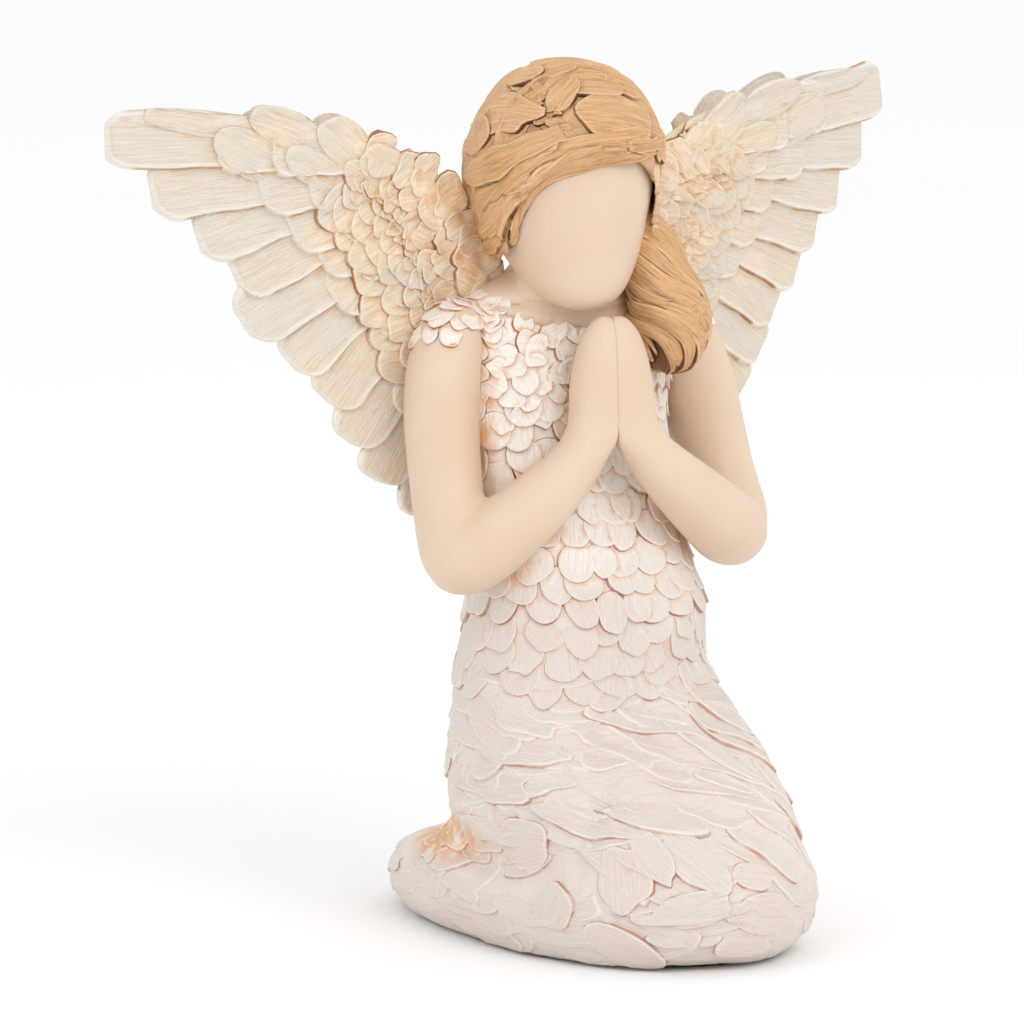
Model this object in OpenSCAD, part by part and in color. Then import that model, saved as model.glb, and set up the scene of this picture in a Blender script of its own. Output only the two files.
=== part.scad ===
// Kneeling angel figurine: cold-cast resin castings, doweled and glued together.
// Millimetres, +Z up, the figure looks along -Y, its own left hand is on +X.
// The origin is on the felt pad's lower face, where the figurine rests.

/* [Figure] */
// Height from the table to the crown of the hair
figure_h = 163; // [113:5:213]
// Turn of the head towards the figure's own right, in degrees
head_yaw = 15; // [5:1:20]
// Thickness of the sculpted hair over the skull
hair_t = 2; // [1.2:0.1:3]

/* [Wings] */
// Backward sweep of each wing, in degrees
wing_sweep = 5; // [3:1:9]
// Thickness of the flight feathers
feather_t = 2.4; // [1.6:0.2:3]
// How far each row of shorter feathers stands off the row behind it
tier_step = 0.8; // [0.4:0.1:1.2]

/* [Joints] */
// Clearance on each side of a glued peg or dowel
glue_gap = 0.05; // [0.02:0.01:0.15]
// Radius of the steel neck dowel
neck_pin_r = 2; // [1.5:0.1:2.5]
// Radius of the steel shoulder dowels
arm_pin_r = 1.5; // [1:0.1:2]
// Radius of the fine pins in the hands and the gathered hair
fine_pin_r = 0.8; // [0.5:0.1:1]

/* [Base] */
// Thickness of the felt pad
felt_t = 1.5; // [1:0.1:2.5]

/* [Hidden] */

// Everything below is drawn for a figure this tall, then scaled as a whole
DRAWN_H = 163;
k = figure_h / DRAWN_H;
SKIN = "navajowhite";
CREAM = "oldlace";
BLUSH = "mistyrose";
BROWN = "burlywood";
STEEL = "silver";
body_sides = 40;
head_sides = 28;
limb_sides = 16;
pin_fn = 48;
far = 400;

// Levels of the kneeling figure in its dress, bottom to top:
// height, centre x, centre y, half width, front reach, back reach, squareness of the outline
DRESS = [
    [0.5, 0, -4, 26, 40, 58, 2.3],
    [4, 0, -4, 29, 45, 62.5, 2.2],
    [9, 0, -4, 30.5, 47, 60, 2.2],
    [14, 0, -4, 30, 47, 51, 2.3],
    [17.5, 0, -3.5, 29, 46, 39, 2.3],
    [20.5, 0, -3, 28.5, 44.5, 30.5, 2.3],
    [26, 0.5, -2, 29.5, 40, 30, 2.2],
    [33, 1, 0, 29.2, 31.5, 28.8, 2.2],
    [39, 1, 2.5, 28, 22.5, 26.5, 2.2],
    [44, 1, 4, 26.4, 17.3, 24.5, 2.2],
    [50, 1, 5, 25.6, 16.5, 22.5, 2.2],
    [60, 1, 6.5, 24.2, 17, 19, 2.2],
    [72, 0.5, 9, 22, 15, 16, 2.2],
    [84, 0, 12, 21, 13, 14, 2.2],
    [96, 0, 14, 22, 12.5, 12.5, 2.3],
    [106, 0, 15, 23.5, 12, 12, 2.5],
    [113, 0, 15.5, 23.5, 11, 11, 2.5],
    [117.5, 0, 15.5, 20, 9.8, 9.8, 2.4],
    [120, 0, 15, 12.5, 8.8, 8.8, 2.2],
];
// Levels of the smooth head about its own upright axis, before it turns
HEAD_AXIS = [-1, 11];
HEAD = [
    [117.5, 0, -10.5, 1.5, 1.5, 1.5, 2],
    [119, 0, -9, 6, 6.5, 4, 2],
    [122, 0, -6, 9.5, 11, 5, 2],
    [127, 0, -2.5, 12.5, 15, 11, 2],
    [133, 0, 0, 14.7, 18, 15, 2],
    [140, 0, 0.5, 16.2, 19, 17.5, 2],
    [146, 0, 0.5, 16.2, 18.3, 18, 2],
    [152, 0, 0.5, 14, 15.5, 15.5, 2],
    [157, 0, 0.5, 10.3, 11, 11.5, 2],
    [160, 0, 0.5, 6, 6, 6.5, 2],
    [161, 0, 0.5, 1.5, 1.5, 1.5, 2],
];
HEAD_MID = 139;
HEAD_HALF_H = 22;
// Bare shoulders that spread from the neck over the collar of the dress, bottom to top
YOKE = [
    [112.5, 0, 15.2, 13, 11.3, 10.5, 2.3],
    [115, 0, 15.2, 15, 10.8, 10, 2.3],
    [117.5, 0, 15.2, 18, 10, 9.6, 2.3],
    [119.5, 0, 15.2, 18.5, 9.5, 9.4, 2.3],
    [121.5, 0, 15, 16, 9, 9, 2.1],
    [123.5, 0, 15, 11.5, 8.6, 8.6, 2],
    [126, 0, 15, 8.6, 8.1, 8.1, 2],
    [128, 0, 15, 7.8, 7.8, 7.8, 2],
];
// The round neck below the head, and the depth that it stands in the dress
NECK_Y = 15;
NECK_R = 7.8;
NECK_Z0 = 112.5;
NECK_H = 15.5;
// The window that the hair leaves for the face, and the hair's lower edge at the nape
FACE_MID = 130;
FACE_HALF_W = 14;
FACE_HALF_H = 16.5;
FACE_ROUND = 10;
NAPE = 127;
// Right arm as centre points with a radius; the left arm mirrors it
UPPER_ARM = [
    [-18, 15.5, 117, 1.5], [-20, 15.3, 115.8, 5], [-23, 15, 112.8, 7], [-26, 14, 106, 7.5],
    [-28, 12, 96, 7.2], [-29, 8.5, 84, 6.9], [-29.8, 5, 76, 7], [-30, 3, 71.5, 6.6],
    [-30, 2.3, 67.5, 4.2], [-30, 2, 66, 1.5],
];
FOREARM = [
    [-35.5, 4, 71, 1.5], [-34.2, 3.5, 71.2, 4.5], [-31.5, 2.5, 72, 6.6], [-28, 1, 73.5, 7.2],
    [-23, -1.5, 77.5, 7], [-15, -4.5, 84.5, 6], [-9, -6, 91, 4.9], [-6, -5.6, 97, 4.7],
    [-5, -5, 103, 5], [-4.4, -5, 109, 4.5], [-3.5, -5.2, 114, 3.4], [-2.8, -5.4, 117, 1.4],
];
// Row of the forearm from which the two hands lie palm to palm
WRIST_ROW = 7;
// The upright plane between the palms, turned to the same side as the head
PALM_AT = [-2, -6];
PALM_TURN = 18;
// How much higher, and how much nearer the body, the left elbow is held
ELBOW_LIFT = 3.5;
ELBOW_IN = 3;
// How much further out the middle of the left upper arm is
ARM_OUT = 3;
// Gathered hair that falls in front of the figure's left shoulder
PONYTAIL = [
    [7, 7, 136, 1.5], [9, 6, 134, 3.6], [12, 4.2, 129, 5], [13.8, 2.2, 122.5, 5.7],
    [15.3, 0.8, 117, 6.7], [15.3, 0.2, 112, 6.5], [14, 0, 107.5, 4.3], [13.2, 0, 104.8, 1.4],
];
// Tips of the flight feathers in the wing's plane, top to bottom: reach, height, half width
FLIGHT = [
    [80.5, 151.5, 5.4], [73, 142.5, 5.8], [65, 134, 5.8], [58, 126.5, 5.8], [54.5, 118, 6],
    [47, 110.5, 5.8], [41.5, 103, 5.6], [36.5, 95.5, 5.6], [30, 87.5, 5.6], [21, 79.5, 5.4],
];
// The arm of the wing that the feathers spring from, root to wrist
SPRING = [[6, 110], [10, 122], [15, 132], [21, 139.5], [30, 146]];
// Rolled leading edge: reach, depth, height, radius
ROLL = [
    [5, 0, 109, 2], [6.5, 0, 116, 3.6], [9.5, 0, 124, 4.2], [14, 0, 132.5, 4.2],
    [18, 0, 138.5, 4], [24, 0, 143.5, 3.6], [32, 0, 147.8, 3.1], [46, 0, 152, 2.2],
];
WING_ROOT = [8, 20.7, 0];
// Share of a feather's length before its tip starts to round
BLADE = 0.85;
// Rows of feathers: share of the flight feathers' length, number in the row
TIERS = [[1, 10], [0.62, 9], [0.38, 8], [0.2, 6]];
// The cast tab that keys each wing into the back of the dress, and its middle
TAB = [10, 3.4, 12];
TAB_AT = [16.5, 22.2, 106];
FELT_INSET = 3;

// A true size inside the scaled figure
function real(v) = v / k;
function mix(a, b, share) = a + (b - a) * share;

// Catmull-Rom point at share t between rows i and i + 1 of a table
function row_at(rows, i, t) =
    let (
        last = len(rows) - 1,
        a = rows[max(i - 1, 0)],
        b = rows[i],
        c = rows[min(i + 1, last)],
        d = rows[min(i + 2, last)]
    )
    0.5 * (2 * b + (c - a) * t + (2 * a - 5 * b + 4 * c - d) * t * t + (3 * b - a - 3 * c + d) * t * t * t);
function smooth_rows(rows, steps) = [
    for (i = [0 : len(rows) - 2], j = [0 : steps - 1]) row_at(rows, i, j / steps),
    rows[len(rows) - 1],
];
// The row at share u, from 0 to 1, of a whole table
function along(rows, u) =
    let (s = u * (len(rows) - 1), i = min(floor(s), len(rows) - 2))
    row_at(rows, i, s - i);

// Egg-shaped outline of one level, with its own reach to the front and the back
function egg(level, sides, grow = 0) = [
    for (i = [0 : sides - 1])
        let (
            c = cos(360 * i / sides),
            s = sin(360 * i / sides),
            e = 2 / level[6],
            reach = (s > 0 ? level[5] : level[4]) + grow
        )
        [
            level[1] + (level[3] + grow) * sign(c) * pow(abs(c), e),
            level[2] + reach * sign(s) * pow(abs(s), e),
            level[0],
        ],
];

// Round ring at point i of a limb's path, square to the path
function ring(path, i, sides) =
    let (
        p = path[i],
        ahead = path[min(i + 1, len(path) - 1)],
        behind = path[max(i - 1, 0)],
        d = [ahead.x - behind.x, ahead.y - behind.y, ahead.z - behind.z],
        n = d / norm(d),
        side = cross(n, [0, 1, 0]),
        h = side / norm(side),
        g = cross(n, h)
    )
    [for (j = [0 : sides - 1]) [p.x, p.y, p.z] + p[3] * (cos(360 * j / sides) * h + sin(360 * j / sides) * g)];

// Closed skin over a stack of rings with the same number of points
module skin(rings) {
    n = len(rings[0]);
    m = len(rings);
    polyhedron(
        points = [for (r = rings) each r],
        faces = [
            [for (j = [0 : n - 1]) j],
            for (i = [0 : m - 2], j = [0 : n - 1])
                let (a = i * n + j, b = i * n + (j + 1) % n)
                each [[a, a + n, b + n], [a, b + n, b]],
            [for (j = [n - 1 : -1 : 0]) (m - 1) * n + j],
        ]
    );
}

module limb(rows) {
    path = smooth_rows(rows, 2);
    skin([for (i = [0 : len(path) - 1]) ring(path, i, limb_sides)]);
}

module left() mirror([1, 0, 0]) children();

module dress_form() skin([for (level = smooth_rows(DRESS, 2)) egg(level, body_sides)]);

// The bare head, or the same form grown by the thickness of the hair
module head_form(grow = 0)
    translate([HEAD_AXIS.x, HEAD_AXIS.y, 0])
        rotate(-head_yaw)
            skin([for (level = smooth_rows(HEAD, 2))
                [for (p = egg(level, head_sides, grow))
                    [p.x, p.y, p.z + grow * (p.z - HEAD_MID) / HEAD_HALF_H]]]);

module yoke() skin([for (level = smooth_rows(YOKE, 2)) egg(level, body_sides)]);

module neck_post(gap = 0)
    translate([0, NECK_Y, NECK_Z0 - gap])
        cylinder(r = NECK_R + gap, h = NECK_H, $fn = pin_fn);

// Places a child at the plane between the palms, with X square to it
module across_palms() translate([PALM_AT.x, PALM_AT.y, 0]) rotate(-PALM_TURN) children();

// A round pin along X, centred on its own middle
module lying_pin(r, length) rotate([0, 90, 0]) cylinder(r = r, h = length, center = true, $fn = pin_fn);

// The space of each pin: its own radius draws the pin, a larger one its hole
module neck_pin(r) translate([0, NECK_Y, 112.5]) cylinder(r = r, h = 20, center = true, $fn = pin_fn);
module shoulder_pin(r) translate([-21, 15, 106]) lying_pin(r, 14);
module hand_pin(r) across_palms() translate([0, 0, 102]) lying_pin(r, 5);
module hair_pin(r) translate([13.5, 3.5, 129]) lying_pin(r, 7);

module felt(gap = 0)
    translate([0, 0, -gap])
        linear_extrude(real(felt_t) + gap)
            offset(gap - FELT_INSET)
                polygon([for (p = egg(DRESS[0], body_sides)) [p.x, p.y]]);

module tab(gap = 0)
    translate([TAB_AT.x, TAB_AT.y, TAB_AT.z])
        cube([TAB.x + 2 * gap, TAB.y + 2 * gap, TAB.z + 2 * gap], center = true);

// Outline of one feather in the wing's own plane: a blade that widens from its quill,
// curves a little and ends in a half-oval tip
module feather(quill, tip, half_w, bow = 1.5) {
    d = tip - quill;
    n = [-d.y, d.x] / norm(d);
    side = [
        for (t = [0 : 0.25 : 0.75]) [t * BLADE, 0.55 + 0.45 * t],
        for (a = [0 : 15 : 90]) [BLADE + (1 - BLADE) * sin(a), cos(a)],
    ];
    polygon([
        for (e = side) quill + d * e.x + n * (bow * sin(180 * e.x) + half_w * e.y),
        for (i = [len(side) - 1 : -1 : 0])
            quill + d * side[i].x + n * (bow * sin(180 * side[i].x) - half_w * side[i].y),
    ]);
}

// One row of feathers as a plate of even thickness, its notches slightly filled
module feather_row(reach, count, thick)
    translate([0, 0, -thick / 2])
        linear_extrude(thick)
            offset(-0.4)
                offset(0.4)
                    for (i = [0 : count - 1]) {
                        u = i / (count - 1);
                        quill = along(SPRING, 1 - u);
                        whole = along(FLIGHT, u);
                        feather(quill, quill + ([whole.x, whole.y] - quill) * reach, whole[2]);
                    }

// One wing flat in its own plane: reach along X, height along Z, with the rolled leading edge
module wing_form() {
    rotate([90, 0, 0])
        for (i = [0 : len(TIERS) - 1])
            feather_row(TIERS[i][0], TIERS[i][1], real(feather_t + 2 * i * tier_step));
    limb(ROLL);
}

// The left wing with its tab, trimmed to the body and to the arm given as a child
module wing() {
    difference() {
        translate(WING_ROOT) rotate(wing_sweep) wing_form();
        dress_form();
        yoke();
        children();
    }
    tab();
}

// A point of the right arm carried to the left one: share 0 mirrors it in the middle of
// the figure, share 1 in the plane between the palms
function to_left(p, share) =
    let (
        n = [cos(PALM_TURN), -sin(PALM_TURN)],
        away = ([p.x, p.y] - PALM_AT) * n,
        palm = [p.x, p.y] - 2 * away * n
    )
    [mix(-p.x, palm.x, share), mix(p.y, palm.y, share), p.z, p[3]];
function left_upper_arm() = [
    for (i = [0 : len(UPPER_ARM) - 1])
        let (share = i / (len(UPPER_ARM) - 1))
        to_left(UPPER_ARM[i], 0) + [ARM_OUT * sin(180 * share), 0, ELBOW_LIFT * share * share, 0],
];
function left_forearm() = [
    for (i = [0 : len(FOREARM) - 1])
        let (share = min(1, i / WRIST_ROW))
        to_left(FOREARM[i], share) + [-ELBOW_IN, 0, ELBOW_LIFT, 0] * (1 - share),
];

module beyond_palm(side) across_palms() translate([side * far / 2, 0, 0]) cube(far, center = true);

module dress_body()
    color(BLUSH)
        scale(k)
            difference() {
                dress_form();
                head_form();
                felt(real(glue_gap));
                neck_post(real(glue_gap));
                neck_pin(real(neck_pin_r + glue_gap));
                shoulder_pin(real(arm_pin_r + glue_gap));
                left() shoulder_pin(real(arm_pin_r + glue_gap));
                tab(real(glue_gap));
                left() tab(real(glue_gap));
            }

module head()
    color(SKIN)
        scale(k)
            difference() {
                union() {
                    head_form();
                    neck_post();
                    difference() {
                        yoke();
                        dress_form();
                        limb(UPPER_ARM);
                        limb(left_upper_arm());
                    }
                }
                neck_pin(real(neck_pin_r + glue_gap));
                hair_pin(real(fine_pin_r + glue_gap));
            }

// The face left open by the hair, as a rounded window cut along the head's own front
module face_window()
    translate([HEAD_AXIS.x, HEAD_AXIS.y, 0])
        rotate(-head_yaw)
            translate([0, 0, FACE_MID])
                rotate([90, 0, 0])
                    linear_extrude(far)
                        offset(FACE_ROUND)
                            square([2 * (FACE_HALF_W - FACE_ROUND), 2 * (FACE_HALF_H - FACE_ROUND)], center = true);

module hair_crown()
    color(BROWN)
        scale(k)
            difference() {
                head_form(real(hair_t));
                head_form();
                face_window();
                neck_post();
                yoke();
                hair_pin(real(fine_pin_r + glue_gap));
                translate([0, 0, NAPE - far / 2]) cube(far, center = true);
            }

module side_ponytail()
    color(BROWN)
        scale(k)
            difference() {
                limb(PONYTAIL);
                head_form(real(hair_t));
                dress_form();
                yoke();
                hair_pin(real(fine_pin_r + glue_gap));
            }

module right_arm()
    color(SKIN)
        scale(k)
            difference() {
                union() {
                    limb(UPPER_ARM);
                    limb(FOREARM);
                }
                dress_form();
                beyond_palm(1);
                shoulder_pin(real(arm_pin_r + glue_gap));
                hand_pin(real(fine_pin_r + glue_gap));
            }

module left_arm()
    color(SKIN)
        scale(k)
            difference() {
                union() {
                    limb(left_upper_arm());
                    limb(left_forearm());
                }
                dress_form();
                beyond_palm(-1);
                left() shoulder_pin(real(arm_pin_r + glue_gap));
                hand_pin(real(fine_pin_r + glue_gap));
            }

module right_wing() color(CREAM) scale(k) left() wing() left() limb(UPPER_ARM);
module left_wing() color(CREAM) scale(k) wing() limb(left_upper_arm());

module neck_dowel() color(STEEL) scale(k) neck_pin(real(neck_pin_r));
module right_shoulder_dowel() color(STEEL) scale(k) shoulder_pin(real(arm_pin_r));
module left_shoulder_dowel() color(STEEL) scale(k) left() shoulder_pin(real(arm_pin_r));
module palm_pin() color(STEEL) scale(k) hand_pin(real(fine_pin_r));
module ponytail_pin() color(STEEL) scale(k) hair_pin(real(fine_pin_r));
module felt_pad() color("darkolivegreen") scale(k) felt();

dress_body();
head();
hair_crown();
side_ponytail();
right_arm();
left_arm();
right_wing();
left_wing();
neck_dowel();
right_shoulder_dowel();
left_shoulder_dowel();
palm_pin();
ponytail_pin();
felt_pad();
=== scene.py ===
"""Looks of the kneeling angel figurine: hand-laid clay relief over the CAD castings, painted and washed.

Every form starts from a CAD node's own mesh, so it stands where the CAD says. Petals, slabs, feathers and
locks are closed chips of clay laid on those forms one by one. Lengths below are millimetres unless noted.
"""

import functools
import math

import bpy
import numpy as np
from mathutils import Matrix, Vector
from mathutils.bvhtree import BVHTree
from mathutils.kdtree import KDTree


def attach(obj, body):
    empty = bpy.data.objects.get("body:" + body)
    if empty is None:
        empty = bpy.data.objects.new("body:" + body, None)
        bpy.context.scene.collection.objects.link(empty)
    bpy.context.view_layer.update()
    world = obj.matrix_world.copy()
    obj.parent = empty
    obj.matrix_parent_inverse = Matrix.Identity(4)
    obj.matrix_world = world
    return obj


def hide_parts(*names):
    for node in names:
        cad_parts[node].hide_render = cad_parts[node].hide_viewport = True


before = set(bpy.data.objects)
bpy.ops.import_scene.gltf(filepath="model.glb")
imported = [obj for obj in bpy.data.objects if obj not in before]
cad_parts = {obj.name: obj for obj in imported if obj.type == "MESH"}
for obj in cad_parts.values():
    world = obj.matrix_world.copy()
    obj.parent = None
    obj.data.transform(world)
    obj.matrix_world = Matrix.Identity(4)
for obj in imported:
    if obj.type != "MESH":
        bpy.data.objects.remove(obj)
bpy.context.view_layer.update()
MM = 0.001
UP = np.array([0.0, 0.0, 1.0])

# Camera: the photograph's viewing angle
CAM_AZIMUTH = -33.0
CAM_ELEVATION = 7.5
CAM_TARGET = (-14.2, 9.2, 79.5)
CAM_DISTANCE = 1.4  # metres
CAM_LENS = 262.8
FLOOR_HALF = 6.0  # metres

# Head axis and turn, as in the CAD
HEAD_AT = np.array([-1.0, 11.0, 139.0])
HEAD_YAW = math.radians(15)
FACING = np.array([-math.sin(HEAD_YAW), -math.cos(HEAD_YAW), 0.0])
NAPE = 127.0

# Middle of the dress at each height: height, x, y
DRESS_MIDDLE = np.array(
    [[0, 0, -4], [26, 0.5, -2], [44, 1, 4], [60, 1, 6.5], [84, 0, 12], [106, 0, 15], [120, 0, 15]], float
)

# Wings: plane of each wing and how far its tip bends back
WING_X0 = 8.0
WING_Y0 = 20.7
WING_SWEEP = math.radians(5)
BEND_FROM = 30.0
BEND_BACK = 7.0
BEND_SPAN = 51.5
# Tips of the flight feathers, top to bottom: reach, height, half width
RIGHT_FLIGHT = [
    (79.5, 150.5, 5.6), (71.5, 141.5, 6.4), (63, 132.5, 6.4), (56, 125, 6.2), (54.5, 116, 6.6),
    (45.5, 108.5, 6.2), (38, 101, 6), (33.5, 93, 6), (28, 85.5, 5.8), (19, 78, 5.6),
]
LEFT_FLIGHT = [
    (80, 153.5, 5.6), (74, 144, 6.2), (67, 135, 6.2), (60.5, 127.5, 6.2), (55, 119.5, 6.2),
    (49, 112.5, 6), (45.5, 105, 5.8), (40.5, 97.5, 5.8), (33, 89.5, 5.8), (24, 81, 5.6),
]
# The arm of the wing that the feathers spring from
SPRING = [(6, 110), (10, 122), (15, 132), (21, 139.5), (30, 146)]
# How the arm goes on beyond the last feather
ARM_END = [(40, 149.0), (52, 151.0), (64, 152.5)]
# Rolled leading edge: reach, height, radius
ROLL = [(5, 108, 2), (6, 116, 3.6), (9.5, 124, 4.4), (14, 132.5, 4.4), (18.5, 139, 4.2), (25, 144.5, 3.6),
        (33, 148.3, 3), (46, 151.6, 2.3), (62, 153.6, 1.7), (77, 154.6, 1.1)]
# How much higher the tip of the left wing's leading edge is
LEFT_ROLL_LIFT = 1.8
# Rows of feathers: share of the flight feathers' length, number, half thickness
TIERS = [(1.0, 10, 1.2), (0.61, 9, 2.0), (0.42, 8, 2.8)]
# Rows of scales over the feathers: distance below the arm of the wing, half length, half width
SCALES = [(16.5, 5.6, 4.4), (13, 4.6, 3.7), (10.2, 3.4, 2.8)]
# Rows of broken clay on the arm: distance below it, half size
BROKEN = [(-3.8, 3.0), (-0.8, 3.3), (2.2, 3.3), (5.2, 3.0)]
# Rows of the ridge: distance below the arm, half size, height
RIDGE = [(8.2, 2.3, 0.9), (7.2, 1.6, 1.3)]
# The way that scales point, in the wing's plane, besides away from its arm
OUTWARDS = np.array([0.9, -0.3])
# Single coverts on the arm of the wing: place in its plane, half length, half width, direction in degrees
# above straight out
COVERTS = [
    (63, 153.6, 11, 2.2, 8), (52.5, 147.4, 8.5, 4.5, 23), (46, 152, 8, 3.4, 20), (41, 144.6, 6.5, 3.2, 20),
    (34.5, 149, 6.5, 4.2, 46), (30, 141.5, 6.5, 2.9, 25), (27, 144, 6, 4, 40),
]

# Gathered hair: centre and radius, as in the CAD
PONYTAIL = np.array(
    [[7, 7, 136, 1.5], [9, 6, 134, 3.6], [12, 4.2, 129, 5], [13.8, 2.2, 122.5, 5.7],
     [15.3, 0.8, 117, 6.7], [15.3, 0.2, 112, 6.5], [14, 0, 107.5, 4.3], [13.2, 0, 104.8, 1.4]], float
)


# ---------------------------------------------------------------- small helpers

def add_object(name, data):
    thing = bpy.data.objects.new(name, data)
    bpy.context.scene.collection.objects.link(thing)
    return thing


def unit(v):
    v = np.asarray(v, float)
    return v / np.maximum(np.linalg.norm(v, axis=-1, keepdims=True), 1e-9)


def clamp(values):
    return np.clip(values, 0, 1)


def level_and_rise(normal):
    """The level direction in a surface, to the right as seen from outside, and the steepest way up it."""
    level = unit(np.cross(UP, normal))
    return level, np.cross(normal, level)


def turned(normal, degrees):
    """A direction in a surface, turned up from level."""
    level, rise = level_and_rise(normal)
    return level * math.cos(math.radians(degrees)) + rise * math.sin(math.radians(degrees))


def way_to(azimuth, elevation):
    """Direction of a lamp or the camera: azimuth 0 in front, 90 on the figure's left."""
    a, e = math.radians(azimuth), math.radians(elevation)
    return Vector((math.sin(a) * math.cos(e), -math.cos(a) * math.cos(e), math.sin(e)))


def wobble(points, size, seed):
    """Smooth seeded noise, mostly from -1 to 1, that varies over about size millimetres."""
    waves = 14
    r = np.random.default_rng(seed)
    d = unit(r.normal(size=(waves, 3)))
    f = 2 * math.pi / (size * r.uniform(0.7, 1.6, waves))
    phase = r.uniform(0, 2 * math.pi, waves)
    return np.sin(points @ (d * f[:, None]).T + phase).sum(1) * 0.9 / math.sqrt(waves)


def smooth_rows(rows, steps):
    """Catmull-Rom points through a table of rows."""
    rows = np.asarray(rows, float)
    n = len(rows)
    out = []
    for i in range(n - 1):
        a, b, c, d = rows[max(i - 1, 0)], rows[i], rows[i + 1], rows[min(i + 2, n - 1)]
        bend, twist = 2 * a - 5 * b + 4 * c - d, 3 * b - a - 3 * c + d
        out += [0.5 * (2 * b + (c - a) * t + bend * t**2 + twist * t**3) for t in np.arange(steps) / steps]
    out.append(rows[-1])
    return np.array(out)


def along(rows, u):
    """Row at share u, from 0 to 1, of a table, along a smooth curve."""
    fine = smooth_rows(rows, 16)
    s = clamp(u) * (len(fine) - 1)
    i = int(min(math.floor(s), len(fine) - 2))
    return fine[i] + (fine[i + 1] - fine[i]) * (s - i)


# ---------------------------------------------------------------- forms that chips are laid on

# A distance from which every form is seen from outside
FAR = 200.0


class Form:
    """A closed surface in millimetres, with smooth normals and a fast nearest-point search."""

    def __init__(self, co, tris):
        self.co = np.asarray(co, float)
        self.tris = np.asarray(tris, int)
        a, b, c = (self.co[self.tris[:, k]] for k in range(3))
        face = np.cross(b - a, c - a)
        normals = np.zeros_like(self.co)
        for k in range(3):
            np.add.at(normals, self.tris[:, k], face)
        self.normals = unit(normals)
        self.tree = BVHTree.FromPolygons([Vector(p) for p in self.co], self.tris.tolist())

    def smooth_normals(self, places, index):
        """Normals at places on the triangles of the given index, blended from their corners."""
        corner = self.tris[index]
        weight = 1 / (np.linalg.norm(self.co[corner] - places[:, None], axis=2) + 0.05)
        return unit((self.normals[corner] * weight[..., None]).sum(1))

    def nearest(self, points):
        found = [self.tree.find_nearest(Vector(p)) for p in points]
        places = np.array([f[0] for f in found])
        return places, self.smooth_normals(places, np.array([f[2] for f in found]))

    def outermost(self, middle, direction):
        """Where a ray from far outside towards the middle first meets the form, or None."""
        direction = unit(direction)
        hit = self.tree.ray_cast(Vector(middle + direction * FAR), Vector(-direction), FAR)
        if hit[0] is None:
            return None
        return self.at(hit)

    def at(self, hit):
        """Place and smooth normal of one ray's hit."""
        place = np.array([hit[0]])
        return place[0], self.smooth_normals(place, np.array([hit[2]]))[0]

    def distance(self, points):
        return np.array([self.tree.find_nearest(Vector(p))[3] for p in points])


def triangles(faces):
    """Faces cut into fans of triangles."""
    return [(f[0], f[k], f[k + 1]) for f in faces for k in range(1, len(f) - 1)]


def facing(faces, outward):
    """Faces as they are, or turned over on the mirrored side."""
    return faces if outward else [f[::-1] for f in faces]


def cad_form(names, voxel, smooth):
    """An even, softened copy of CAD nodes taken together, in millimetres."""
    co, faces = [], []
    for name in names:
        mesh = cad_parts[name].data
        shift = len(co)
        co += [tuple(v.co) for v in mesh.vertices]
        faces += [[shift + i for i in p.vertices] for p in mesh.polygons]
    mesh = bpy.data.meshes.new("form")
    mesh.from_pydata(co, [], faces)
    thing = add_object("form", mesh)
    remesh = thing.modifiers.new("remesh", "REMESH")
    remesh.mode = "VOXEL"
    remesh.voxel_size = voxel * MM
    soften = thing.modifiers.new("soften", "SMOOTH")
    soften.factor = 0.5
    soften.iterations = smooth
    made = thing.evaluated_get(bpy.context.evaluated_depsgraph_get()).to_mesh()
    points = np.array([v.co for v in made.vertices]) / MM
    tris = triangles([list(p.vertices) for p in made.polygons])
    bpy.data.objects.remove(thing)
    return Form(points, tris)


# ---------------------------------------------------------------- clay

# No point of clay stands lower than this
LOWEST = 0.6
# Points with more wash than this lie under an edge and take no dirt
UNDER_EDGE = 0.6
# How many points of rims are looked at round each point, and how much higher one has to be to leave dirt
RIMS_NEAR = 6
STEP_UP = 0.12


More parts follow.
